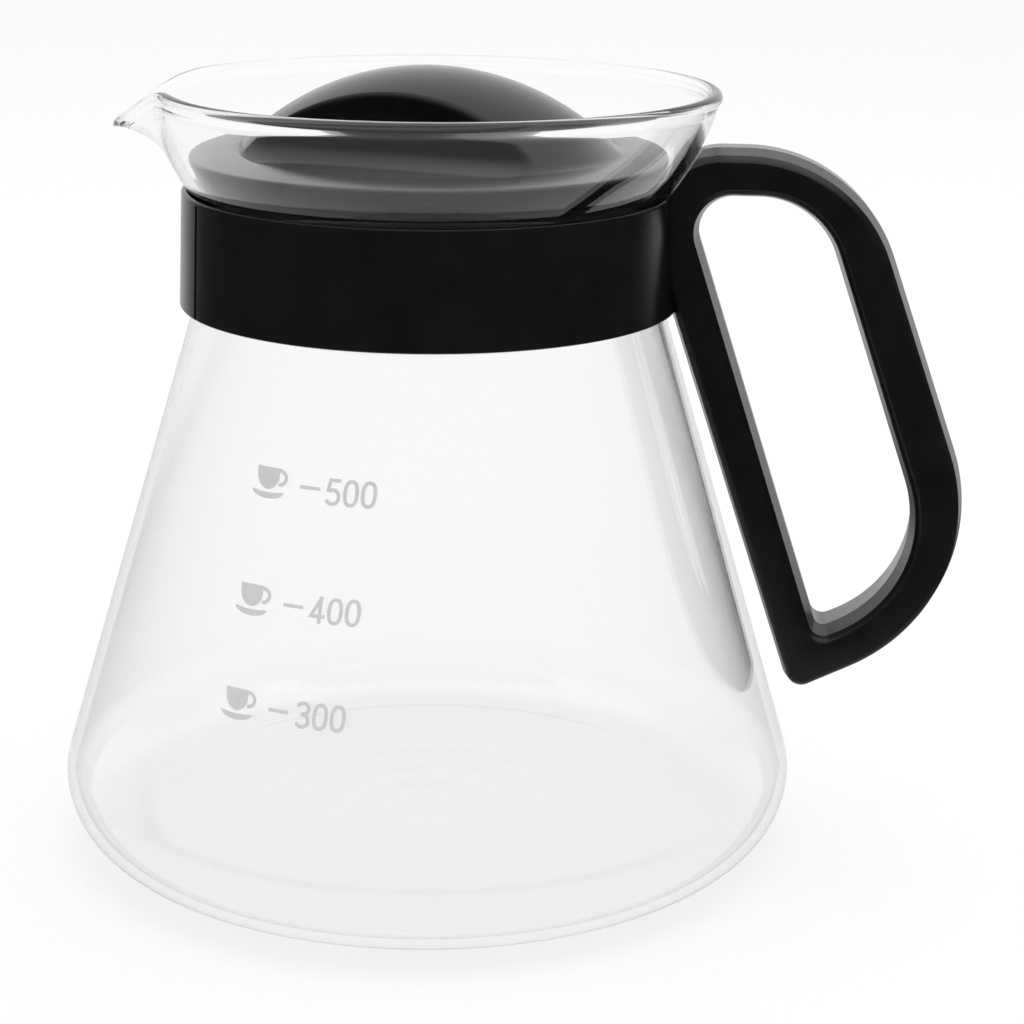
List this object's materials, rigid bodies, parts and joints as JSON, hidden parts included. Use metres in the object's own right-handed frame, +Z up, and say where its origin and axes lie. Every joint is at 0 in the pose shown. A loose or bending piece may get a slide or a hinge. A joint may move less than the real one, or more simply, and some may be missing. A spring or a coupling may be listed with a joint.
{
  "type": "coffee server carafe",
  "caption": "Conical glass coffee server with a drawn pouring spout, a black neck collar with a loop handle, and a domed lift-off lid.",
  "frame": {"origin": "on the jar's axis at the level of the surface that it stands on", "axes": "+Z up, +X from the jar's axis towards the handle, spout at -X"},
  "size_m": [0.1408, 0.116, 0.1215],
  "materials": {
    "clear_glass": "clear heat-resistant glass with a fire-polished rim and pale grey printed scale marks",
    "handle_plastic": "black moulded plastic with a fine matte texture",
    "lid_plastic": "black moulded plastic with a satin surface",
    "screw_steel": "plain zinc-plated self-tapping screws"
  },
  "bodies": {
    "server": {"glass_jar": "clear_glass", "front_handle_half": "handle_plastic", "rear_handle_half": "handle_plastic", "handle_screws": "screw_steel"},
    "lid": {"lid": "lid_plastic"}
  },
  "joints": [
    {"name": "lid_lift", "type": "slide", "parent": "server", "child": "lid", "axis": [0, 0, 1], "range_m": [0, 0.06]}
  ]
}
